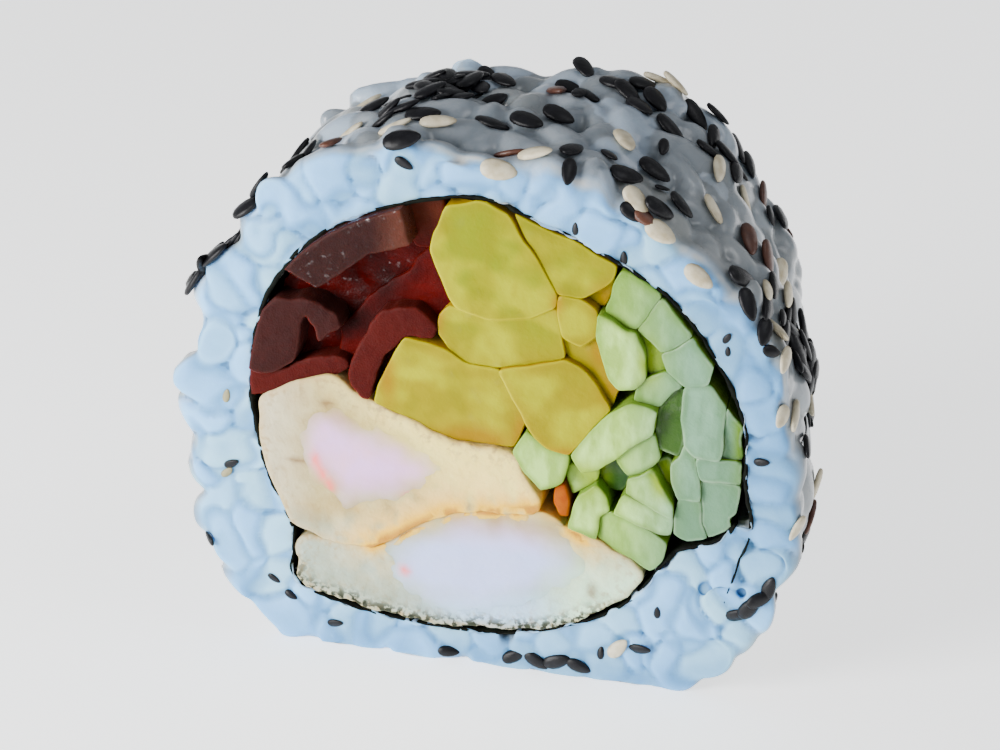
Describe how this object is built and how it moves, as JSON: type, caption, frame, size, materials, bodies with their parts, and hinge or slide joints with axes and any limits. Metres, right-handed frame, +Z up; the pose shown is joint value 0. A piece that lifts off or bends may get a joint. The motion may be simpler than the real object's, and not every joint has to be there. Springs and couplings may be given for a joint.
{
  "type": "shrimp tempura uramaki piece",
  "caption": "Slice of an inside-out sushi roll: sesame-coated rice round nori, with tempura shrimp, pickled radish, cucumber and simmered gourd through it.",
  "frame": {"origin": "on the table under the piece, at the middle of its width and of its thickness", "axes": "+Z up, Y along the roll's axis with the shown cut face looking along -Y, X across the roll with the cucumber side at +X"},
  "size_m": [0.0564, 0.0248, 0.05],
  "materials": {
    "rice": "cooked rice, moist, slightly translucent, with black, cream and brown sesame",
    "nori": "thin dry seaweed sheet, nearly black",
    "kanpyo": "simmered gourd strip, glossy dark red-brown",
    "takuan": "pickled radish, wet, strong yellow",
    "cucumber": "cut cucumber, wet, pale green",
    "carrot": "cut carrot, wet, orange",
    "batter": "soft fried batter, cream to pale gold",
    "shrimp": "cooked shrimp, moist, white with a pink tint"
  },
  "bodies": {
    "root": {"batter_bottom": "batter", "batter_left": "batter", "carrot": "carrot", "cucumber_01": "cucumber", "cucumber_02": "cucumber", "cucumber_03": "cucumber", "cucumber_04": "cucumber", "cucumber_05": "cucumber", "cucumber_06": "cucumber", "cucumber_07": "cucumber", "cucumber_08": "cucumber", "cucumber_09": "cucumber", "cucumber_10": "cucumber", "cucumber_11": "cucumber", "cucumber_12": "cucumber", "cucumber_13": "cucumber", "cucumber_14": "cucumber", "cucumber_15": "cucumber", "cucumber_16": "cucumber", "cucumber_17": "cucumber", "cucumber_18": "cucumber", "cucumber_19": "cucumber", "cucumber_20": "cucumber", "cucumber_21": "cucumber", "cucumber_22": "cucumber", "cucumber_23": "cucumber", "kanpyo_1": "kanpyo", "kanpyo_2": "kanpyo", "kanpyo_3": "kanpyo", "kanpyo_4": "kanpyo", "kanpyo_5": "kanpyo", "kanpyo_6": "kanpyo", "kanpyo_7": "kanpyo", "nori": "nori", "rice": "rice", "shrimp_bottom": "shrimp", "shrimp_left": "shrimp", "takuan_1": "takuan", "takuan_2": "takuan", "takuan_3": "takuan", "takuan_4": "takuan", "takuan_5": "takuan", "takuan_6": "takuan", "takuan_7": "takuan", "takuan_8": "takuan"}
  },
  "joints": []
}
